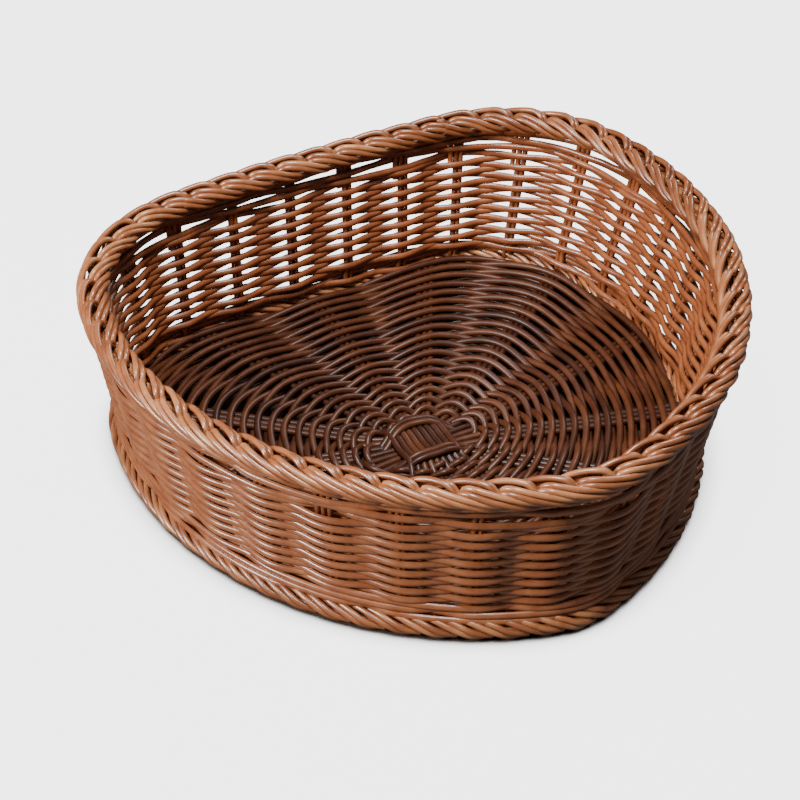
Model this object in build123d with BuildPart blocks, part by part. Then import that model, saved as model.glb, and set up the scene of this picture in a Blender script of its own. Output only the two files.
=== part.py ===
"""Fruit basket woven from round plastic cane, with a rounded three-cornered plan.

Millimetres, +Z up. The origin is the middle of the basket on the surface it stands on.
The flat side faces +Y and the narrow corner faces -Y.
"""
from build123d import *
from math import atan2, cos, hypot, pi, radians, sin, sqrt, tan, tau
import os

os.makedirs("parts", exist_ok=True)

# Overall sizes, over the border
rim_depth = 270.0
rim_width = 276.0
basket_height = 80.0

# Plan of the border's outer edge: three corner arcs joined by two flank arcs and a back arc
tip_corner_radius = 56.0
back_corner_radius = 77.0
flank_arc_radius = 172.0
back_arc_radius = 900.0

# Cane
cane = 2.6
foot_cane_width = 3.6
border_cane_width = 4.0
border_cane_edge = 0.8
fit_clearance = 0.15
row_gap = 0.15
stake_clearance = 0.95

# Wall: pairs of stakes stand on one line, and every row of weaving waves round them
stake_count = 28
first_stake_step = 0.8
canes_per_stake = 2
wall_inset_top = 7.0
wall_inset_foot = 16.0
stake_foot_height = 1.0
stake_top_gap = 1.5
bend_reach = 8.0
settling_steps = 4
foot_row_count = 3
foot_row_pitch = 2.75
lower_wale_count = 2
weave_row_count = 17
upper_wale_count = 3
border_row_count = 4
border_height = 15.0

# Floor: spokes between an upper and a lower layer of rounds, tied at a cross of canes
floor_height = 10.0
floor_edge_gap = 0.4
spoke_count = 14
canes_per_spoke = 3
first_spoke_angle = 10.0
cross_length = 58.0
cross_cane_count = 9
cross_turn = -90.0
round_count = 12
round_gap = 0.7

# Sizes that follow from the ones above
half_width = rim_width / 2 - back_corner_radius
tip_centre = (0.0, tip_corner_radius - rim_depth / 2)
back_rise = sqrt((back_arc_radius - back_corner_radius) ** 2 - half_width**2)
back_arc_centre = (0.0, rim_depth / 2 - back_arc_radius)
right_centre = (half_width, back_arc_centre[1] + back_rise)
left_centre = (-half_width, back_arc_centre[1] + back_rise)
foot_height = foot_row_count * foot_row_pitch
foot_cane_height = foot_row_pitch - row_gap
wall_row_count = lower_wale_count + weave_row_count + upper_wale_count
border_bottom = basket_height - border_height
row_pitch = (border_bottom - foot_height) / wall_row_count
row_height = row_pitch - row_gap
border_pitch = border_height / border_row_count
border_cane_height = border_pitch - row_gap
cane_spacing = cane + fit_clearance
floor_inset = wall_inset_foot + cane / 2 + stake_clearance + foot_cane_width + floor_edge_gap
upper_layer = floor_height - cane
spoke_layer = upper_layer - cane_spacing
lower_layer = spoke_layer - cane_spacing
cross_room_length = cross_length + 2 * fit_clearance
cross_room_width = cross_cane_count * cane_spacing + fit_clearance
spoke_start_radius = canes_per_spoke * cane_spacing / (2 * sin(pi / spoke_count))


def flank_centre(corner):
    """Centre of the flank arc that holds the tip's circle and a back corner's circle."""
    tip_reach = flank_arc_radius - tip_corner_radius
    corner_reach = flank_arc_radius - back_corner_radius
    run = (corner[0] - tip_centre[0], corner[1] - tip_centre[1])
    span = hypot(*run)
    along = (tip_reach**2 - corner_reach**2 + span**2) / (2 * span)
    across = sqrt(tip_reach**2 - along**2)
    turn = 1 if corner[0] > 0 else -1
    x = tip_centre[0] + (run[0] * along - turn * run[1] * across) / span
    y = tip_centre[1] + (run[1] * along + turn * run[0] * across) / span
    return (x, y)


def plan_arcs():
    """Centre, radius, start and end angle of the plan's six arcs, anticlockwise from the tip."""
    right_flank = flank_centre(right_centre)
    left_flank = flank_centre(left_centre)
    corners = [
        (tip_centre, tip_corner_radius, left_flank, right_flank),
        (right_centre, back_corner_radius, right_flank, back_arc_centre),
        (left_centre, back_corner_radius, back_arc_centre, left_flank),
    ]
    sides = [flank_arc_radius, back_arc_radius, flank_arc_radius]
    arcs = []
    for index, (centre, radius, before, after) in enumerate(corners):
        start = atan2(centre[1] - before[1], centre[0] - before[0])
        end = atan2(centre[1] - after[1], centre[0] - after[0])
        next_corner = corners[(index + 1) % 3][0]
        side_end = atan2(next_corner[1] - after[1], next_corner[0] - after[0])
        arcs.append((centre, radius, start, start + (end - start) % tau))
        arcs.append((after, sides[index], end, end + (side_end - end) % tau))
    return arcs


plan = plan_arcs()
shortest_reach = min(radius - floor_inset - hypot(*centre) for centre, radius, _, _ in plan[1::2])
cross_corner_reach = hypot(cross_room_length, cross_room_width) / 2 + round_gap
round_width = (shortest_reach - cross_corner_reach - (round_count - 1) * round_gap) / round_count
first_round_share = (cross_corner_reach + round_width) / shortest_reach


def plan_length(inset):
    """Length of the plan's outline, moved inwards by the inset."""
    return sum((radius - inset) * (end - start) for _, radius, start, end in plan)


def wall_inset(height):
    """How far the line of the stakes is inside the border's outer edge at a height."""
    return wall_inset_foot + (wall_inset_top - wall_inset_foot) * height / basket_height


def stake_places():
    """Arc centre, arc radius and outward direction of each stake, evenly spaced round the wall."""
    middle_inset = (wall_inset_top + wall_inset_foot) / 2
    step = plan_length(middle_inset) / stake_count
    places = []
    for stake in range(stake_count):
        travel = (stake + first_stake_step) * step
        for centre, radius, start, end in plan:
            arc_length = (radius - middle_inset) * (end - start)
            if travel < arc_length:
                angle = start + travel / (radius - middle_inset)
                places.append((Vector(*centre), radius, Vector(cos(angle), sin(angle))))
                break
            travel -= arc_length
    return places


places = stake_places()


def wave_corners(sides, inset, width):
    """Corner points of a cane's path round the stakes, outside (1) or inside (-1) each one."""
    swing = cane / 2 + stake_clearance + width / 2
    cuts = [0.0] * stake_count
    for _ in range(settling_steps):
        corners = []
        for (centre, radius, outward), side, cut in zip(places, sides, cuts):
            corners.append(centre + outward * (radius - inset + side * (swing + cut)))
        turns = []
        for index, corner in enumerate(corners):
            before = corner - corners[index - 1]
            after = corners[(index + 1) % stake_count] - corner
            turns.append(before.get_signed_angle(after, Vector(0, 0, 1)))
        cuts = [max(bend_reach * tan(radians(turn) / 4) * side, 0.0) for turn, side in zip(turns, sides)]
    return corners, turns


def wave_edge(sides, inset, width, offset):
    """Draw the path of a waving cane, or one edge of it, as straight runs and tangent arcs."""
    corners, turns = wave_corners(sides, inset, width)
    normals = []
    for index, corner in enumerate(corners):
        along = (corners[(index + 1) % stake_count] - corner).normalized()
        normals.append(Vector(along.Y, -along.X))
    bends = []
    for index, (corner, turn) in enumerate(zip(corners, turns)):
        before, after = normals[index - 1], normals[index]
        middle = (before + after).normalized()
        radius = bend_reach / tan(radians(turn) / 2)
        pivot = corner - middle * (radius / cos(radians(turn) / 2))
        reach = radius + offset
        bends.append((pivot + before * reach, pivot + middle * reach, pivot + after * reach))
    for index, (arrive, middle, leave) in enumerate(bends):
        ThreePointArc(arrive, middle, leave)
        Line(leave, bends[(index + 1) % stake_count][0])


def cane_ring(sides, bottom, width=cane, height=row_height):
    """Make a flat-topped cane that waves round all the stakes, standing on a given height."""
    inset = wall_inset(bottom + height / 2)
    with BuildPart() as ring:
        with BuildSketch(Plane.XY.offset(bottom)):
            with BuildLine():
                wave_edge(sides, inset, width, width / 2)
            make_face()
            with BuildLine():
                wave_edge(sides, inset, width, -width / 2)
            make_face(mode=Mode.SUBTRACT)
        extrude(amount=height)
    return ring


def plan_edge(inset, share=1.0, step=0.0):
    """Draw the plan's outline moved inwards by an inset, scaled by a share, then moved in a step."""
    for centre, radius, start, end in plan:
        middle = Vector(*centre) * share
        reach = (radius - inset) * share - step
        angles = (start, (start + end) / 2, end)
        ThreePointArc(*[middle + Vector(cos(angle), sin(angle)) * reach for angle in angles])


def cane_offsets(count):
    """Sideways places of canes that lie side by side."""
    return [(index - (count - 1) / 2) * cane_spacing for index in range(count)]


def floor_rounds(bottom):
    """Make one layer of the floor's rounds, each a pair of canes, from the wall in to the cross."""
    with BuildPart() as rounds:
        with BuildSketch(Plane.XY.offset(bottom)):
            for index in reversed(range(round_count)):
                share = first_round_share + (1 - first_round_share) * index / (round_count - 1)
                with BuildLine():
                    plan_edge(floor_inset, share)
                make_face()
                with BuildLine():
                    plan_edge(floor_inset, share, round_width)
                make_face(mode=Mode.SUBTRACT)
        extrude(amount=cane)
    return rounds


def cross_canes(turn, bottom):
    """Make the canes of the cross that lie side by side one way."""
    with BuildPart() as canes:
        with BuildSketch(Plane.XY.offset(bottom)):
            with Locations(Location((0, 0, 0), (0, 0, turn))):
                with Locations([(0, offset) for offset in cane_offsets(cross_cane_count)]):
                    Rectangle(cross_length, cane)
        extrude(amount=cane)
    return canes


def plain_weave(row):
    """Over one stake and under the next, and the other way about on the next row."""
    return [1 if (stake + row) % 2 else -1 for stake in range(stake_count)]


def wale(row):
    """Outside three stakes and inside the fourth, one stake further on each row."""
    return [-1 if (stake + row) % 4 == 0 else 1 for stake in range(stake_count)]


def write(piece, name):
    """Label a finished piece and write it as a node of its own."""
    piece.part.label = name
    export_step(piece.part, f"parts/{name}.step")


# Foot: canes laid close round the lower ends of the stakes, the lowest one on the table
for row in range(foot_row_count):
    foot_cane = cane_ring(wale(row), row * foot_row_pitch, foot_cane_width, foot_cane_height)
    write(foot_cane, f"foot_cane_{row + 1}")

# Lower wale: long strokes that lock the stakes above the foot
wall_bottom = foot_height
for row in range(lower_wale_count):
    lower_wale = cane_ring(wale(row + foot_row_count), wall_bottom + row * row_pitch)
    write(lower_wale, f"lower_wale_{row + 1}")

# Wall: plain weaving, one node for each row
wall_bottom += lower_wale_count * row_pitch
for row in range(weave_row_count):
    weave_row = cane_ring(plain_weave(row), wall_bottom + row * row_pitch)
    write(weave_row, f"weave_row_{row + 1:02d}")

# Upper wale: long strokes under the border
wall_bottom += weave_row_count * row_pitch
for row in range(upper_wale_count):
    upper_wale = cane_ring(wale(row), wall_bottom + row * row_pitch)
    write(upper_wale, f"upper_wale_{row + 1}")

# Border: the broad canes plaited round the tops of the stakes, with their edges eased
for row in range(border_row_count):
    bottom = border_bottom + row * border_pitch
    border_blank = cane_ring(plain_weave(row), bottom, border_cane_width, border_cane_height)
    with BuildPart() as border_cane:
        add(border_blank.part)
        flat_faces = border_cane.faces().filter_by(Axis.Z)
        chamfer(flat_faces.edges(), length=border_cane_edge)
    write(border_cane, f"border_cane_{row + 1}")

# Stakes: pairs of canes that lean out from the foot to the border
stake_top = basket_height - stake_top_gap
with BuildPart() as stakes:
    for centre, radius, outward in places:
        low = centre + outward * (radius - wall_inset(stake_foot_height)) + Vector(0, 0, stake_foot_height)
        high = centre + outward * (radius - wall_inset(stake_top)) + Vector(0, 0, stake_top)
        lean = high - low
        sideways = Vector(-outward.Y, outward.X)
        with BuildSketch(Plane(origin=low, x_dir=sideways, z_dir=lean.normalized())):
            with Locations([(offset, 0) for offset in cane_offsets(canes_per_stake)]):
                Circle(cane / 2)
        extrude(amount=lean.length)
write(stakes, "stakes")

# Spokes: three canes side by side, that start beside the lower cross and run out to the wall
with BuildPart() as floor_spokes:
    with BuildSketch(Plane.XY.offset(spoke_layer)):
        with PolarLocations(0, spoke_count, start_angle=first_spoke_angle):
            with Locations([(0, offset) for offset in cane_offsets(canes_per_spoke)]):
                Rectangle(rim_depth, cane, align=(Align.MIN, Align.CENTER))
        Circle(spoke_start_radius, mode=Mode.SUBTRACT)
        Rectangle(cross_room_length, cross_room_width, rotation=cross_turn + 90, mode=Mode.SUBTRACT)
        with BuildLine():
            plan_edge(floor_inset)
        make_face(mode=Mode.INTERSECT)
    extrude(amount=cane)
write(floor_spokes, "floor_spokes")

# Rounds: one cane pair passes above the spokes and its partner below
floor_rounds_upper = floor_rounds(upper_layer)
write(floor_rounds_upper, "floor_rounds_upper")
floor_rounds_lower = floor_rounds(lower_layer)
write(floor_rounds_lower, "floor_rounds_lower")

# Cross: two sets of canes, one laid over the other at the middle of the floor
floor_cross_upper = cross_canes(cross_turn, upper_layer)
write(floor_cross_upper, "floor_cross_upper")
floor_cross_lower = cross_canes(cross_turn + 90, spoke_layer)
write(floor_cross_lower, "floor_cross_lower")
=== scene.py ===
"""Visual model of a woven fruit basket made from round plastic cane.

Lengths in the classes are millimetres. Pieces are built in metres in the shared frame: the origin
is the middle of the basket on the table, +Z is up and +Y points to the flat back side.
"""
import logging
import math
from dataclasses import dataclass
from enum import Enum

import bmesh
import bpy
import numpy as np
from mathutils import Matrix, Vector


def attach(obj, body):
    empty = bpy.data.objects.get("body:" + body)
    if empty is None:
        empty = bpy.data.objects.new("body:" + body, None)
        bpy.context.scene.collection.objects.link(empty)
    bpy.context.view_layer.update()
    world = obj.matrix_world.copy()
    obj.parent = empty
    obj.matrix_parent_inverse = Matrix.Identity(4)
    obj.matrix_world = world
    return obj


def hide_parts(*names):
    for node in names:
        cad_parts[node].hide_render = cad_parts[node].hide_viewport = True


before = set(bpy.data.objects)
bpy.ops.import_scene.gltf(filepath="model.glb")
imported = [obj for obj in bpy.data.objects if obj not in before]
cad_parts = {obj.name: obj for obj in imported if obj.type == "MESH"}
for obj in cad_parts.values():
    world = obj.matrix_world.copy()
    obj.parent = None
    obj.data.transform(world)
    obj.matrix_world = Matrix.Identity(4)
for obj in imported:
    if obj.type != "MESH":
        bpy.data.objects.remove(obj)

log = logging.getLogger("basket")

MM = 0.001
SEED = 28

# Drift of a hand-woven cane: number of waves added together, and how often they swing in one round
DRIFT_WAVES = 4
SLOWEST_DRIFT = 2
FASTEST_DRIFT = 14


class Side(Enum):
    """Which side of a stake a cane passes."""

    OUTSIDE = 1.0
    INSIDE = -1.0


class Slot(Enum):
    """Names of the material slots, which each piece keeps."""

    WALL = "wall_cane"
    BORDER = "border_cane"
    STAKE = "stake_cane"
    FLOOR = "floor_cane"


def linear(hex_colour: str) -> tuple[float, float, float, float]:
    """Turn an sRGB hex colour into linear values.

    Args:
        hex_colour: six hex digits.

    Returns:
        Linear red, green, blue and an alpha of 1.
    """
    values = []
    for start in (0, 2, 4):
        part = int(hex_colour[start:start + 2], 16) / 255
        values.append(part / 12.92 if part <= 0.04045 else ((part + 0.055) / 1.055) ** 2.4)
    return (*values, 1.0)


def add_node(tree: bpy.types.NodeTree, kind: str, **inputs: object) -> bpy.types.Node:
    """Add a shader node and set or link its inputs.

    Args:
        tree: the node tree that takes the node.
        kind: the node's type name.
        inputs: values or output sockets for the inputs, with spaces written as underscores.

    Returns:
        The new node.
    """
    node = tree.nodes.new(kind)
    for name, value in inputs.items():
        socket = node.inputs[name.replace("_", " ")]
        if isinstance(value, bpy.types.NodeSocket):
            tree.links.new(value, socket)
        else:
            socket.default_value = value
    return node


@dataclass(frozen=True)
class CaneFinish:
    """Extruded plastic cane: a satin skin over brown plastic, paler where it is stretched and rubbed.

    The colour runs from dark through middle to pale by a slow cloud along the cane and by a shift of
    its own for each length. Sizes are millimetres.
    """

    name: str
    dark: str
    middle: str
    pale: str
    roughness_low: float = 0.22
    roughness_high: float = 0.38
    specular: float = 0.75
    ior: float = 1.5
    streak_size: float = 9.0
    streak_detail: float = 3.0
    streak_softness: float = 0.55
    streak_share: float = 0.9
    batch_share: float = 0.5
    batch_shift: float = -0.2
    dark_until: float = 0.18
    middle_at: float = 0.5
    pale_from: float = 0.86
    grain_size: float = 0.8
    grain_detail: float = 2.0
    grain_depth: float = 0.10
    grain_strength: float = 0.35

    def material(self) -> bpy.types.Material:
        """Make the material.

        Returns:
            The finished material.
        """
        material = bpy.data.materials.new(self.name)
        material.use_nodes = True
        tree = material.node_tree
        tree.nodes.clear()
        place = add_node(tree, "ShaderNodeTexCoord").outputs["Object"]
        # Each length of cane comes from its own batch, so neighbours differ a little
        island = add_node(tree, "ShaderNodeNewGeometry").outputs["Random Per Island"]
        cloud = add_node(tree, "ShaderNodeTexNoise", Vector=place, Scale=1 / (self.streak_size * MM),
                         Detail=self.streak_detail, Roughness=self.streak_softness).outputs["Fac"]
        blend = add_node(tree, "ShaderNodeMath", Value=cloud)
        blend.operation = "MULTIPLY_ADD"
        blend.inputs[1].default_value = self.streak_share
        shift = add_node(tree, "ShaderNodeMath", Value=island)
        shift.operation = "MULTIPLY_ADD"
        shift.inputs[1].default_value = self.batch_share
        shift.inputs[2].default_value = self.batch_shift
        tree.links.new(shift.outputs[0], blend.inputs[2])
        ramp = add_node(tree, "ShaderNodeValToRGB", Fac=blend.outputs[0])
        ramp.color_ramp.elements[0].position = self.dark_until
        ramp.color_ramp.elements[0].color = linear(self.dark)
        ramp.color_ramp.elements[1].position = self.pale_from
        ramp.color_ramp.elements[1].color = linear(self.pale)
        ramp.color_ramp.elements.new(self.middle_at).color = linear(self.middle)
        grain = add_node(tree, "ShaderNodeTexNoise", Vector=place, Scale=1 / (self.grain_size * MM),
                         Detail=self.grain_detail).outputs["Fac"]
        rough = add_node(tree, "ShaderNodeMapRange", Value=cloud, To_Min=self.roughness_low,
                         To_Max=self.roughness_high).outputs["Result"]
        bump = add_node(tree, "ShaderNodeBump", Height=grain, Strength=self.grain_strength,
                        Distance=self.grain_depth * MM)
        shader = add_node(tree, "ShaderNodeBsdfPrincipled", Base_Color=ramp.outputs["Color"], Roughness=rough,
                          Normal=bump.outputs["Normal"], IOR=self.ior, Specular_IOR_Level=self.specular)
        add_node(tree, "ShaderNodeOutputMaterial", Surface=shader.outputs["BSDF"])
        return material


@dataclass(frozen=True)
class StageFinish:
    """Matt board that the basket stands on: grey to the lamps, white to the camera.

    The grey keeps its bounce off the basket's lower sides. Close under the basket, where less of the sky
    than shade_start is open within shade_reach millimetres, the board takes the dark shade colour and no
    glow: a painted shadow.
    """

    name: str
    colour: str
    shade: str = "3A2A20"
    glow: float = 32.0
    shade_reach: float = 30.0
    shade_start: float = 0.35
    shade_end: float = 0.75
    roughness: float = 0.9

    def material(self) -> bpy.types.Material:
        """Make the material.

        Returns:
            The finished material.
        """
        material = bpy.data.materials.new(self.name)
        material.use_nodes = True
        tree = material.node_tree
        tree.nodes.clear()
        # Painted shadow: board that something stands close over is painted the dark shade colour and gets no
        # glow; open board reads clean white
        open_sky = add_node(tree, "ShaderNodeAmbientOcclusion", Distance=self.shade_reach * MM).outputs["AO"]
        clear = add_node(tree, "ShaderNodeMapRange", Value=open_sky, From_Min=self.shade_start,
                         From_Max=self.shade_end).outputs["Result"]
        colour = add_node(tree, "ShaderNodeValToRGB", Fac=clear)
        # Painted shadow colour for the board under the basket
        colour.color_ramp.elements[0].color = linear(self.shade)
        colour.color_ramp.elements[1].color = linear(self.colour)
        seen = add_node(tree, "ShaderNodeLightPath").outputs["Is Camera Ray"]
        glow = add_node(tree, "ShaderNodeMath", Value=clear)
        glow.operation = "MULTIPLY"
        tree.links.new(seen, glow.inputs[1])
        strength = add_node(tree, "ShaderNodeMath", Value=glow.outputs[0])
        strength.operation = "MULTIPLY"
        strength.inputs[1].default_value = self.glow
        shader = add_node(tree, "ShaderNodeBsdfPrincipled", Base_Color=colour.outputs["Color"],
                          Roughness=self.roughness, Emission_Color=linear(self.colour),
                          Emission_Strength=strength.outputs[0])
        add_node(tree, "ShaderNodeOutputMaterial", Surface=shader.outputs["BSDF"])
        return material


# Cane in full light: warm tan with near-white lines where the skin catches the lamps
WALL_FINISH = CaneFinish("satin_brown_wall_cane", "6E391D", "8A4C2A", "A5663F")
# Border cane is painted palest: painted light on the rim, the top of the basket that faces the lamps; the
# foot plait uses the same finish
BORDER_FINISH = CaneFinish("satin_tan_painted_light_border_cane", "733F23", "915633", "AE754C")
# Stakes are painted redder and darker than the rows: painted shade where they sit between the rows
STAKE_FINISH = CaneFinish("satin_shaded_red_brown_stake_cane", "6E381C", "8A4A27", "A16238")
# Floor cane is painted darkest of the basket: painted shade for the floor deep inside the walls
FLOOR_FINISH = CaneFinish("satin_shaded_floor_cane", "32180B", "421F0F", "552E18", 0.34, 0.46, 0.4)
BOARD_FINISH = StageFinish("matt_white_board", "606060")


@dataclass(frozen=True)
class Arc:
    """One arc of the basket's plan: centre, radius, and start and end angle in degrees."""

    x: float
    y: float
    radius: float
    start: float
    end: float


@dataclass(frozen=True)
class Plan:
    """The basket's plan over the border, and the places of the stakes round it.

    The foot and the rim are moved apart by foot_shift and rim_shift, and foot_growth widens or narrows
    the plan towards the foot, as shares in X and Y.
    """

    arcs: tuple[Arc, ...] = (
        Arc(0.0, -79.0, 56.0, 254.4, 285.6),
        Arc(-31.2, 32.7, 172.0, 285.6, 374.0),
        Arc(61.0, 55.7, 77.0, 14.0, 85.7),
        Arc(0.0, -765.0, 900.0, 85.7, 94.3),
        Arc(-61.0, 55.7, 77.0, 94.3, 166.0),
        Arc(31.2, 32.7, 172.0, 166.0, 254.4),
    )
    middle_inset: float = 11.5
    stake_count: int = 28
    first_stake_step: float = 0.8
    height: float = 80.0
    foot_shift: tuple[float, float] = (-4.75, -0.85)
    rim_shift: tuple[float, float] = (2.25, 1.75)
    foot_growth: tuple[float, float] = (-0.024, 0.034)

    def lengths(self) -> np.ndarray:
        """Give the length of each arc at the middle inset.

        Returns:
            One length for each arc.
        """
        return np.array([
            (arc.radius - self.middle_inset) * math.radians(arc.end - arc.start) for arc in self.arcs
        ])

    def step(self) -> float:
        """Give the distance from one stake to the next.

        Returns:
            The distance at the middle inset.
        """
        return float(self.lengths().sum()) / self.stake_count

    def points(self, turns: np.ndarray, inset: np.ndarray | float, height: np.ndarray | float) -> np.ndarray:
        """Place points round the basket.

        Args:
            turns: place round the plan, counted in stakes from the first one.
            inset: distance inside the border's outer edge.
            height: distance above the table.

        Returns:
            Points as rows of x, y and z.
        """
        lengths = self.lengths()
        starts = np.concatenate(([0.0], np.cumsum(lengths)))
        travel = ((turns + self.first_stake_step) * self.step()) % starts[-1]
        index = np.clip(np.searchsorted(starts, travel, side="right") - 1, 0, len(self.arcs) - 1)
        radius = np.array([arc.radius for arc in self.arcs])[index]
        centre = np.array([(arc.x, arc.y) for arc in self.arcs])[index]
        start = np.radians([arc.start for arc in self.arcs])[index]
        angle = start + (travel - starts[index]) / (radius - self.middle_inset)
        reach = radius - inset
        flat = centre + np.stack([np.cos(angle), np.sin(angle)], axis=1) * reach[:, None]
        level = np.broadcast_to(height, turns.shape)
        rise = level / self.height
        flat = flat * (1 + np.outer(1 - rise, self.foot_growth))
        flat = flat + np.outer(1 - rise, self.foot_shift) + np.outer(rise, self.rim_shift)
        return np.column_stack([flat, level])


PLAN = Plan()


@dataclass
class Strands:
    """A piece made of lengths of grooved cane."""

    name: str
    nodes: tuple[str, ...]
    slot: Slot
    thickness: float = 2.5
    height: float | None = None
    rib_count: int = 8
    rib_depth: float = 0.11
    crease_angle: float = 62.0

    def __post_init__(self) -> None:
        """Start with no lengths."""
        self.paths: list[tuple[np.ndarray, bool]] = []

    def add(self, path: np.ndarray, closed: bool = False) -> None:
        """Add one length of cane.

        Args:
            path: the cane's centre line as rows of x, y and z.
            closed: True for a ring.
        """
        self.paths.append((path, closed))

    def profile(self) -> bpy.types.Object:
        """Draw the cane's cross-section, a circle with shallow grooves.

        Returns:
            A curve object.
        """
        curve = bpy.data.curves.new(f"{self.name}_section", "CURVE")
        spline = curve.splines.new("POLY")
        count = 2 * self.rib_count
        spline.points.add(count - 1)
        for index, point in enumerate(spline.points):
            angle = math.tau * index / count
            reach = MM / 2 * (1 - self.rib_depth * (index % 2))
            tall = self.height or self.thickness
            point.co = (self.thickness * reach * math.cos(angle), tall * reach * math.sin(angle), 0, 1)
        spline.use_cyclic_u = True
        section = bpy.data.objects.new(curve.name, curve)
        bpy.context.collection.objects.link(section)
        return section

    def build(self, material: bpy.types.Material) -> bpy.types.Object:
        """Turn the lengths into one mesh piece, riding on the root and standing for its nodes.

        Args:
            material: the cane's finish.

        Returns:
            The finished piece.
        """
        section = self.profile()
        curve = bpy.data.curves.new(f"{self.name}_lines", "CURVE")
        curve.dimensions = "3D"
        if self.height:
            curve.twist_mode = "Z_UP"
        curve.bevel_mode = "OBJECT"
        curve.bevel_object = section
        curve.use_fill_caps = True
        for path, closed in self.paths:
            spline = curve.splines.new("POLY")
            spline.points.add(len(path) - 1)
            rows = np.column_stack([path * MM, np.ones(len(path))])
            spline.points.foreach_set("co", rows.ravel().astype(np.float32))
            spline.use_cyclic_u = closed
        lines = bpy.data.objects.new(curve.name, curve)
        bpy.context.collection.objects.link(lines)
        bpy.context.view_layer.update()
        solid = lines.evaluated_get(bpy.context.evaluated_depsgraph_get())
        mesh = bpy.data.meshes.new_from_object(solid)
        mesh.name = self.name
        mesh.shade_smooth()
        mesh.set_sharp_from_angle(angle=math.radians(self.crease_angle))
        mesh.materials.clear()
        mesh.materials.append(material)
        piece = bpy.data.objects.new(self.name, mesh)
        bpy.context.collection.objects.link(piece)
        bpy.data.objects.remove(lines)
        bpy.data.objects.remove(section)
        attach(piece, "root")
        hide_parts(*self.nodes)
        log.info("%s: %d lengths, %d faces", self.name, len(self.paths), len(mesh.polygons))
        return piece


def smooth_path(keys: np.ndarray, count: int) -> np.ndarray:
    """Draw a smooth line through key points.

    Args:
        keys: key points as rows of any number of values.
        count: number of points on each stretch between two keys.

    Returns:
        Points along the line, with both ends.
    """
    padded = np.vstack([2 * keys[0] - keys[1], keys, 2 * keys[-1] - keys[-2]])
    share = np.linspace(0, 1, count, endpoint=False)[:, None]
    rows = []
    for a, b, c, d in zip(padded, padded[1:], padded[2:], padded[3:]):
        rows.append(0.5 * (2 * b + (c - a) * share + (2 * a - 5 * b + 4 * c - d) * share**2
                           + (3 * b - a - 3 * c + d) * share**3))
    return np.vstack([*rows, keys[-1]])


def wander(rng: np.random.Generator, turns: np.ndarray, size: float) -> np.ndarray:
    """Give a slow, closed drift round the basket, a sum of waves that each close on themselves.

    Args:
        rng: the seeded source of chance.
        turns: place round the plan, counted in stakes.
        size: the drift's usual size.

    Returns:
        The drift at each place.
    """
    total = np.zeros_like(turns)
    for _ in range(DRIFT_WAVES):
        wave = rng.integers(SLOWEST_DRIFT, FASTEST_DRIFT + 1)
        total += np.sin(math.tau * (wave * turns / PLAN.stake_count + rng.random()))
    return size * total / math.sqrt(DRIFT_WAVES)


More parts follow.
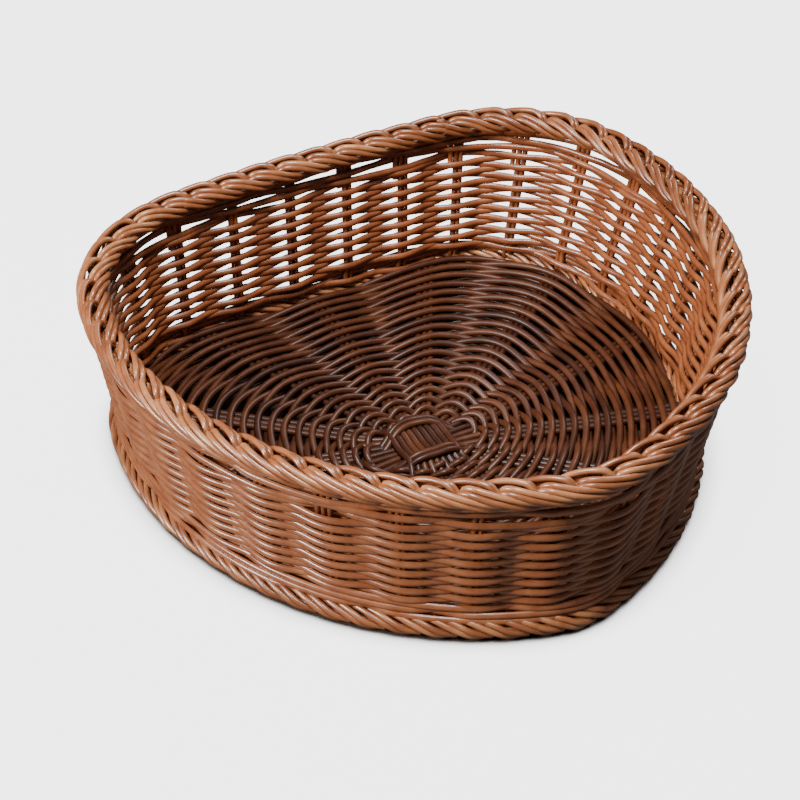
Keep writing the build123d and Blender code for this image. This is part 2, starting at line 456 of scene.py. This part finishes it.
@dataclass
class Wall:
    """The stakes, the rows of weaving and the two bands of wale."""

    heights: tuple[float, ...] = (0.0, 8.0, 15.5, 58.5, 69.0, 80.0)
    insets: tuple[float, ...] = (15.0, 16.0, 16.8, 8.4, 6.8, 6.6)
    cane: float = 2.6
    cane_height: float = 3.2
    swing: float = 2.45
    outer_crest_power: float = 1.35
    inner_crest_power: float = 2.0
    wale_swing: float = 1.9
    segments_per_stake: int = 14
    lower_wale_bottom: float = 7.6
    lower_wale_count: int = 4
    lower_wale_nodes: int = 2
    lower_wale_inside: int = 1
    row_count: int = 17
    row_bottom: float = 15.8
    row_top: float = 59.6
    upper_wale_count: int = 6
    upper_wale_nodes: int = 3
    upper_wale_inside: int = 2
    wale_reach: int = 4
    border_bottom: float = 73.4
    unevenness: float = 0.16
    wale_slant: float = 1.7
    turn_back: float = 0.45
    stake_bottom: float = 2.0
    stake_top: float = 72.0
    stake_spacing: float = 2.5
    stake_points: int = 24
    stake_drift: float = 0.004
    extra_stake_height: float = 50.0
    extra_stake_spread: tuple[float, float] = (-2.5, 8.0)
    extra_share: float = 0.4

    def inset(self, height: np.ndarray | float) -> np.ndarray:
        """Give the inset of the line of the stakes at a height.

        Args:
            height: distance above the table.

        Returns:
            Distance inside the border's outer edge.
        """
        return np.interp(height, self.heights, self.insets)

    def ring(self, sides: np.ndarray, height: float, slant: float, rng: np.random.Generator) -> np.ndarray:
        """Lead one cane round all the stakes.

        Args:
            sides: side of each stake, 1 outside or -1 inside.
            height: height of the cane's centre.
            slant: how far each stroke on the outside falls from its start to its end.
            rng: the seeded source of chance.

        Returns:
            The closed centre line.
        """
        count = PLAN.stake_count
        turns = np.arange(count * self.segments_per_stake) / self.segments_per_stake
        stake = turns.astype(int) % count
        share = turns - np.floor(turns)
        ease = (1 - np.cos(math.pi * share)) / 2
        place = sides[stake] * (1 - ease) + sides[(stake + 1) % count] * ease
        power = np.where(place > 0, self.outer_crest_power, self.inner_crest_power)
        wave = np.sign(place) * np.abs(place) ** power
        level = height + wander(rng, turns, self.unevenness)
        if slant:
            level = level + slant * self.fall(sides, turns)
        swing = self.wale_swing if slant else self.swing
        inset = self.inset(level) - swing * wave + wander(rng, turns, self.unevenness / 2)
        return PLAN.points(turns, inset, level)

    def fall(self, sides: np.ndarray, turns: np.ndarray) -> np.ndarray:
        """Give the rise and fall of a wale's strokes: down along the outside and up again inside.

        Args:
            sides: side of each stake.
            turns: place round the plan, counted in stakes.

        Returns:
            0.5 at the start of each outside stroke, -0.5 at its end.
        """
        count = len(sides)
        keys = []
        for index in range(count):
            if sides[index] < 0 < sides[index - 1]:
                keys.append((index - self.turn_back, -0.5))
            if sides[index] < 0 < sides[(index + 1) % count]:
                keys.append((index + self.turn_back, 0.5))
        places, values = zip(*keys)
        return np.interp(turns, places, values, period=count)

    def wale_sides(self, start: int, inside: int) -> np.ndarray:
        """Say which side of each stake a wale cane passes.

        Args:
            start: the first stake that it passes inside.
            inside: number of stakes that it passes inside each time.

        Returns:
            1 or -1 for each stake.
        """
        place = (np.arange(PLAN.stake_count) - start) % self.wale_reach
        return np.where(place < inside, Side.INSIDE.value, Side.OUTSIDE.value)

    def piece(self, name: str, node: str) -> Strands:
        """Start one ring of the wall.

        Args:
            name: the piece's name.
            node: the node that it stands for.

        Returns:
            A piece with no lengths yet.
        """
        return Strands(name, (node,), Slot.WALL, self.cane, self.cane_height)

    def build(self, rng: np.random.Generator, wall: bpy.types.Material, stake: bpy.types.Material) -> None:
        """Build the stakes and every row.

        Args:
            rng: the seeded source of chance.
            wall: finish of the rows.
            stake: finish of the stakes.
        """
        row_pitch = (self.row_top - self.row_bottom) / self.row_count
        upper_pitch = (self.border_bottom - self.row_top) / self.upper_wale_count
        lower_pitch = (self.row_bottom - self.lower_wale_bottom) / self.lower_wale_count
        pieces = [
            self.piece(f"lower_wale_cane_{index + 1}", f"lower_wale_{index + 1}")
            for index in range(self.lower_wale_nodes)
        ]
        upper = [
            self.piece(f"upper_wale_cane_{index + 1}", f"upper_wale_{index + 1}")
            for index in range(self.upper_wale_nodes)
        ]
        for row in range(self.lower_wale_count):
            height = self.lower_wale_bottom + (row + 0.5) * lower_pitch
            ring = self.ring(self.wale_sides(row, self.lower_wale_inside), height, self.wale_slant, rng)
            pieces[row % self.lower_wale_nodes].add(ring, closed=True)
        for row in range(self.row_count):
            piece = self.piece(f"weave_cane_{row + 1:02d}", f"weave_row_{row + 1:02d}")
            sides = np.where((np.arange(PLAN.stake_count) + row) % 2, Side.OUTSIDE.value, Side.INSIDE.value)
            piece.add(self.ring(sides, self.row_bottom + (row + 0.5) * row_pitch, 0.0, rng), closed=True)
            pieces.append(piece)
        for row in range(self.upper_wale_count):
            height = self.row_top + (row + 0.5) * upper_pitch
            # Canes above each other pass a stake on different sides, and every pair starts one stake on
            start = self.upper_wale_inside * row + row // 2
            ring = self.ring(self.wale_sides(start, self.upper_wale_inside), height, self.wale_slant, rng)
            upper[row % self.upper_wale_nodes].add(ring, closed=True)
        pieces += upper
        for piece in pieces:
            piece.build(wall)
        self.build_stakes(rng, stake)

    def build_stakes(self, rng: np.random.Generator, finish: bpy.types.Material) -> None:
        """Build the stakes, with shorter canes pushed in beside them near the top.

        Args:
            rng: the seeded source of chance.
            finish: finish of the stakes.
        """
        piece = Strands("stake_canes", ("stakes",), Slot.STAKE, self.cane)
        for stake in range(PLAN.stake_count):
            canes = [(-0.5, self.stake_bottom), (0.5, self.stake_bottom)]
            for side in (-1.5, 1.5):
                if rng.random() < self.extra_share:
                    canes.append((side, self.extra_stake_height + rng.uniform(*self.extra_stake_spread)))
            for place, bottom in canes:
                heights = np.linspace(bottom, self.stake_top, self.stake_points)
                offset = place * self.stake_spacing / PLAN.step()
                turns = np.full(heights.shape, stake + offset + rng.normal(0, self.stake_drift))
                piece.add(PLAN.points(turns, self.inset(heights), heights))
        piece.build(finish)


@dataclass
class Plait:
    """A rope-like plait of bundled canes that runs round the basket, with plain canes inside.

    Each key of a bundle is its place along the plait counted in bundles, its angle round the plait
    in degrees from the top, outwards positive, and its reach from the middle as a share of the plait's
    half width and half height. Each core is a place from the middle, inwards and up.
    """

    piece_name: str
    node_name: str
    group_count: int
    bundles_per_stake: int
    canes_per_bundle: int
    centre_inset: float
    centre_height: float
    half_width: float
    half_height: float
    cane: float
    cane_spacing: float
    keys: tuple[tuple[float, float, float], ...]
    unevenness: float
    cores: tuple[tuple[float, float], ...]
    angle_drift: float = 12.0
    reach_drift: float = 1 / 6
    points_per_key: int = 7
    core_points_per_stake: int = 8

    def bundle(self, start: float, rng: np.random.Generator) -> list[np.ndarray]:
        """Lead one bundle over the plait.

        Args:
            start: place where the bundle starts, counted in stakes.
            rng: the seeded source of chance.

        Returns:
            One centre line for each cane.
        """
        line = smooth_path(np.array(self.keys), self.points_per_key)
        turns = start + line[:, 0] / self.bundles_per_stake
        angle = np.radians(line[:, 1] + rng.normal(0, self.unevenness * self.angle_drift))
        reach = line[:, 2] * (1 + rng.normal(0, self.unevenness * self.reach_drift))
        inset = self.centre_inset - self.half_width * reach * np.sin(angle)
        height = self.centre_height + self.half_height * reach * np.cos(angle)
        path = PLAN.points(turns, inset, height)
        middle = PLAN.points(turns, self.centre_inset, self.centre_height)
        along = np.gradient(path, axis=0)
        along /= np.linalg.norm(along, axis=1)[:, None]
        across = np.cross(along, path - middle)
        across /= np.linalg.norm(across, axis=1)[:, None]
        lines = []
        for cane in range(self.canes_per_bundle):
            offset = (cane - (self.canes_per_bundle - 1) / 2) * self.cane_spacing
            lines.append(path + across * (offset + rng.normal(0, self.unevenness)))
        return lines

    def build(self, rng: np.random.Generator, slot: Slot, finish: bpy.types.Material) -> None:
        """Build the plait in groups, one for each node that it stands for.

        Args:
            rng: the seeded source of chance.
            slot: the material slot that each piece keeps.
            finish: finish of the canes.
        """
        pieces = [
            Strands(f"{self.piece_name}_{group + 1}", (f"{self.node_name}_{group + 1}",), slot, self.cane)
            for group in range(self.group_count)
        ]
        for bundle in range(PLAN.stake_count * self.bundles_per_stake):
            lines = self.bundle(bundle / self.bundles_per_stake, rng)
            for line in lines:
                pieces[bundle % self.group_count].add(line)
        for core, (inset, height) in enumerate(self.cores):
            turns = np.arange(PLAN.stake_count * self.core_points_per_stake) / self.core_points_per_stake
            level = self.centre_height + height + wander(rng, turns, self.unevenness)
            path = PLAN.points(turns, self.centre_inset + inset, level)
            pieces[core % self.group_count].add(path, closed=True)
        for piece in pieces:
            piece.build(finish)


BORDER = Plait(
    piece_name="border_plait", node_name="border_cane", group_count=4, bundles_per_stake=2,
    canes_per_bundle=2, centre_inset=6.6, centre_height=74.0, half_width=4.9, half_height=3.9,
    cane=2.6, cane_spacing=2.45, unevenness=0.12,
    cores=((0.0, -2.6), (-2.2, -1.2), (2.2, -1.2), (-2.6, -3.2), (2.6, -3.2), (0.0, -4.6)),
    keys=(
        (-0.55, -150.0, 0.45),
        (-0.30, -124.0, 0.90),
        (0.05, -96.0, 1.12),
        (0.50, -62.0, 1.26),
        (0.92, -36.0, 1.24),
        (1.24, -18.0, 1.02),
        (1.42, -5.0, 0.34),
        (1.50, 5.0, 0.30),
        (1.58, 16.0, 0.92),
        (1.82, 30.0, 1.34),
        (2.25, 50.0, 1.30),
        (2.80, 76.0, 1.14),
        (3.25, 102.0, 1.00),
        (3.60, 128.0, 0.76),
        (3.90, 154.0, 0.40),
    ),
)

FOOT = Plait(
    piece_name="foot_plait", node_name="foot_cane", group_count=3, bundles_per_stake=2,
    canes_per_bundle=2, centre_inset=14.8, centre_height=5.0, half_width=3.2, half_height=2.9,
    cane=2.6, cane_spacing=2.4, unevenness=0.08,
    cores=((0.0, 0.0), (-1.6, 0.0), (1.6, 0.0)),
    keys=(
        (-1.5, -170.0, 0.85),
        (-0.95, -110.0, 1.00),
        (-0.5, -50.0, 1.00),
        (0.0, 0.0, 1.00),
        (0.5, 50.0, 1.00),
        (0.95, 100.0, 1.00),
        (1.5, 160.0, 0.85),
    ),
)


@dataclass
class Floor:
    """The woven floor: a cross of canes, spokes that fan out of it, and rounds of weaving."""

    centre: tuple[float, float] = (-11.0, -1.7)
    turn: float = -2.0
    edge_inset: float = 18.8
    spoke_height: float = 5.9
    spoke_count: int = 14
    canes_per_spoke: int = 3
    first_spoke: float = 10.0
    cane: float = 3.1
    spacing: float = 2.9
    spoke_start: float = 5.0
    spoke_end: float = 1.0
    spoke_points: int = 24
    spoke_drift: float = 0.1
    spoke_full_width_at: float = 34.0
    spoke_least_width: float = 0.45
    round_count: int = 37
    swing: float = 2.4
    bulge: float = 1.5
    window_long: float = 25.0
    window_short: float = 15.0
    cross_count: int = 9
    cross_half_length: float = 12.0
    fan_reach: float = 26.0
    fan_spread: float = 9.0
    fan_points: int = 8
    upper_bar_rise: float = 2.5
    upper_bar_dive: float = 4.0
    binding_place: float = 9.0
    binding_rise: float = 5.0
    binding_dive: float = 2.6
    binding_bows: tuple[float, float] = (4.0, 0.5)
    binding_points: int = 7
    unevenness: float = 0.15
    points_per_round: int = 252
    edge_points: int = 2000

    def edge(self, angles: np.ndarray) -> np.ndarray:
        """Give the distance from the floor's centre to its edge.

        Args:
            angles: directions in radians.

        Returns:
            One distance for each direction.
        """
        rim = PLAN.points(np.linspace(0, PLAN.stake_count, self.edge_points), self.edge_inset, 0.0)
        x, y = rim[:, 0] - self.centre[0], rim[:, 1] - self.centre[1]
        directions = np.arctan2(y, x) % math.tau
        order = np.argsort(directions)
        return np.interp(angles % math.tau, directions[order], np.hypot(x, y)[order], period=math.tau)

    def window(self, angles: np.ndarray) -> np.ndarray:
        """Give the distance from the centre to the first round, which is an oval.

        Args:
            angles: directions in radians.

        Returns:
            One distance for each direction.
        """
        turned = angles - math.radians(self.turn)
        return 1 / np.hypot(np.cos(turned) / self.window_long, np.sin(turned) / self.window_short)

    def place(self, angles: np.ndarray, reach: np.ndarray, height: np.ndarray) -> np.ndarray:
        """Place points by direction and distance from the floor's centre.

        Args:
            angles: directions in radians.
            reach: distances from the centre.
            height: distances above the table.

        Returns:
            Points as rows of x, y and z.
        """
        x = self.centre[0] + np.cos(angles) * reach
        y = self.centre[1] + np.sin(angles) * reach
        return np.column_stack([x, y, height])

    def build_rounds(self, rng: np.random.Generator, finish: bpy.types.Material) -> None:
        """Build the rounds, over one spoke and under the next.

        Args:
            rng: the seeded source of chance.
            finish: finish of the canes.
        """
        pieces = [
            Strands("floor_weave_odd", ("floor_rounds_upper",), Slot.FLOOR, self.cane),
            Strands("floor_weave_even", ("floor_rounds_lower",), Slot.FLOOR, self.cane),
        ]
        angles = np.linspace(0, math.tau, self.points_per_round, endpoint=False)
        first, last = self.window(angles), self.edge(angles)
        turns = angles / math.tau * PLAN.stake_count
        for index in range(self.round_count):
            share = index / (self.round_count - 1)
            wave = np.cos(self.spoke_count / 2 * (angles - math.radians(self.first_spoke)) + math.pi * index)
            reach = first + (last - first) * share + self.bulge * wave * (1 - share)
            reach = reach + wander(rng, turns, self.unevenness * 2)
            height = self.spoke_height + self.swing * wave + wander(rng, turns, self.unevenness)
            pieces[index % 2].add(self.place(angles, reach, height), closed=True)
        for piece in pieces:
            piece.build(finish)

    def build_spokes(self, rng: np.random.Generator, finish: bpy.types.Material) -> None:
        """Build the spokes, three canes side by side that run out to the wall.

        Args:
            rng: the seeded source of chance.
            finish: finish of the canes.
        """
        piece = Strands("floor_spoke_canes", ("floor_spokes",), Slot.FLOOR, self.cane)
        for spoke in range(self.spoke_count):
            angle = math.radians(self.first_spoke) + math.tau * spoke / self.spoke_count
            start = float(self.window(np.array([angle]))[0]) + self.spoke_start
            end = float(self.edge(np.array([angle]))[0]) + self.spoke_end
            for cane in range(self.canes_per_spoke):
                offset = (cane - (self.canes_per_spoke - 1) / 2) * self.spacing
                along = np.linspace(start, end, self.spoke_points)
                narrow = np.clip(along / self.spoke_full_width_at, self.spoke_least_width, 1.0)
                side = offset * narrow + rng.normal(0, self.spoke_drift)
                x = self.centre[0] + along * math.cos(angle) - side * math.sin(angle)
                y = self.centre[1] + along * math.sin(angle) + side * math.cos(angle)
                piece.add(np.column_stack([x, y, np.full(along.shape, self.spoke_height)]))
        piece.build(finish)

    def turned(self, path: np.ndarray, turn: float) -> np.ndarray:
        """Turn a line about the floor's centre.

        Args:
            path: rows of x, y and z, with x and y from the floor's centre.
            turn: angle in degrees.

        Returns:
            The line in the shared frame.
        """
        angle = math.radians(turn)
        x = self.centre[0] + path[:, 0] * math.cos(angle) - path[:, 1] * math.sin(angle)
        y = self.centre[1] + path[:, 0] * math.sin(angle) + path[:, 1] * math.cos(angle)
        return np.column_stack([x, y, path[:, 2]])

    def fan(self, turn: float, level: float, dive: float, rng: np.random.Generator) -> list[np.ndarray]:
        """Lead the canes of one bar of the cross straight over the middle and fan out their ends.

        Args:
            turn: direction of the bar in degrees.
            level: height of the canes at the middle.
            dive: height of their ends.
            rng: the seeded source of chance.

        Returns:
            One centre line for each cane.
        """
        lines = []
        for cane in range(self.cross_count):
            place = cane - (self.cross_count - 1) / 2
            side = place * self.spacing
            swing = math.radians(place * self.fan_spread)
            ends = []
            for way in (-1, 1):
                near = (way * self.cross_half_length, side, level)
                far = (way * self.fan_reach * math.cos(swing), self.fan_reach * math.sin(swing), dive)
                ends.append((near, far))
            keys = np.array([ends[0][1], ends[0][0], (0.0, side, level), ends[1][0], ends[1][1]])
            keys[:, 2] += rng.normal(0, self.unevenness, len(keys))
            lines.append(self.turned(smooth_path(keys, self.fan_points), turn))
        return lines

    def binding(self) -> list[np.ndarray]:
        """Lead the two pairs of canes that tie the cross over its upper bar.

        Returns:
            One centre line for each cane.
        """
        lines = []
        half = self.cross_count * self.spacing / 2
        top = self.spoke_height + self.binding_rise
        low = self.spoke_height - self.binding_dive
        for way, bow in zip((1, -1), self.binding_bows):
            for pair in range(2):
                out = way * (self.binding_place + pair * self.cane)
                keys = np.array([
                    (-half - 9.0, out - way * (bow + 3.0), low),
                    (-half - 2.5, out - way * bow, self.spoke_height + 0.4),
                    (-half * 0.6, out, top - 0.4),
                    (0.0, out + way * bow * 0.4, top),
                    (half * 0.6, out, top - 0.4),
                    (half + 2.5, out - way * bow, self.spoke_height + 0.4),
                    (half + 9.0, out - way * (bow + 3.0), low),
                ])
                lines.append(self.turned(smooth_path(keys, self.binding_points), self.turn))
        return lines

    def build(self, rng: np.random.Generator, finish: bpy.types.Material) -> None:
        """Build the whole floor.

        Args:
            rng: the seeded source of chance.
            finish: finish of the canes.
        """
        upper = Strands("floor_cross_upper_canes", ("floor_cross_upper",), Slot.FLOOR, self.cane)
        level, dive = self.spoke_height + self.upper_bar_rise, self.spoke_height - self.upper_bar_dive
        for line in self.fan(self.turn - 90, level, dive, rng):
            upper.add(line)
        for line in self.binding():
            upper.add(line)
        upper.build(finish)
        lower = Strands("floor_cross_lower_canes", ("floor_cross_lower",), Slot.FLOOR, self.cane)
        for line in self.fan(self.turn, self.spoke_height, self.spoke_height, rng):
            lower.add(line)
        lower.build(finish)
        self.build_spokes(rng, finish)
        self.build_rounds(rng, finish)


@dataclass
class Studio:
    """A pale board, a dim white surround, three soft lamps and the camera."""

    board_half: float = 3000.0
    camera_place: tuple[float, float, float] = (-363.1, -674.4, 631.6)
    camera_target: tuple[float, float, float] = (-7.7, 26.2, 11.2)
    camera_roll: float = -1.15
    lens: float = 101.6
    surround: float = 0.13

    def build(self) -> None:
        """Set up the stage, the light and the camera."""
        plane = bpy.data.meshes.new("board")
        shape = bmesh.new()
        bmesh.ops.create_grid(shape, x_segments=1, y_segments=1, size=self.board_half * MM)
        shape.to_mesh(plane)
        shape.free()
        plane.materials.append(BOARD_FINISH.material())
        board = bpy.data.objects.new("board", plane)
        bpy.context.collection.objects.link(board)
        world = bpy.data.worlds.new("surround")
        world.use_nodes = True
        world.node_tree.nodes["Background"].inputs["Color"].default_value = (1, 1, 1, 1)
        world.node_tree.nodes["Background"].inputs["Strength"].default_value = self.surround
        bpy.context.scene.world = world
        self.lamp("top_lamp", (-150.0, -130.0, 1000.0), 260.0, 15.0)
        self.lamp("left_lamp", (-1000.0, 50.0, 600.0), 220.0, 19.0)
        self.lamp("right_lamp", (750.0, 500.0, 700.0), 300.0, 4.0)
        self.camera()

    def lamp(self, name: str, place: tuple[float, float, float], size: float, power: float) -> None:
        """Hang a square soft lamp that faces the basket.

        Args:
            name: the lamp's name.
            place: where it hangs.
            size: length of its side.
            power: watts.
        """
        data = bpy.data.lights.new(name, "AREA")
        data.size = size * MM
        data.energy = power
        lamp = bpy.data.objects.new(name, data)
        lamp.location = Vector(place) * MM
        lamp.rotation_euler = (-lamp.location).to_track_quat("-Z", "Y").to_euler()
        bpy.context.collection.objects.link(lamp)

    def camera(self) -> None:
        """Place the camera."""
        data = bpy.data.cameras.new("camera")
        data.lens = self.lens
        camera = bpy.data.objects.new("camera", data)
        place, target = Vector(self.camera_place) * MM, Vector(self.camera_target) * MM
        back = (place - target).normalized()
        level = Vector((0, 0, 1)).cross(back).normalized()
        rise = back.cross(level)
        roll = math.radians(self.camera_roll)
        right = level * math.cos(roll) + rise * math.sin(roll)
        up = rise * math.cos(roll) - level * math.sin(roll)
        turn = Matrix((right, up, back)).transposed().to_4x4()
        camera.matrix_world = Matrix.Translation(place) @ turn
        bpy.context.collection.objects.link(camera)
        bpy.context.scene.camera = camera


def main() -> None:
    """Build the basket, piece by piece, and then the studio."""
    logging.basicConfig(level=logging.INFO, format="%(message)s")
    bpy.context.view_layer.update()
    rng = np.random.default_rng(SEED)
    border = BORDER_FINISH.material()
    FOOT.build(rng, Slot.BORDER, border)
    Wall().build(rng, WALL_FINISH.material(), STAKE_FINISH.material())
    BORDER.build(rng, Slot.BORDER, border)
    Floor().build(rng, FLOOR_FINISH.material())
    Studio().build()


if __name__ == "__main__":
    main()
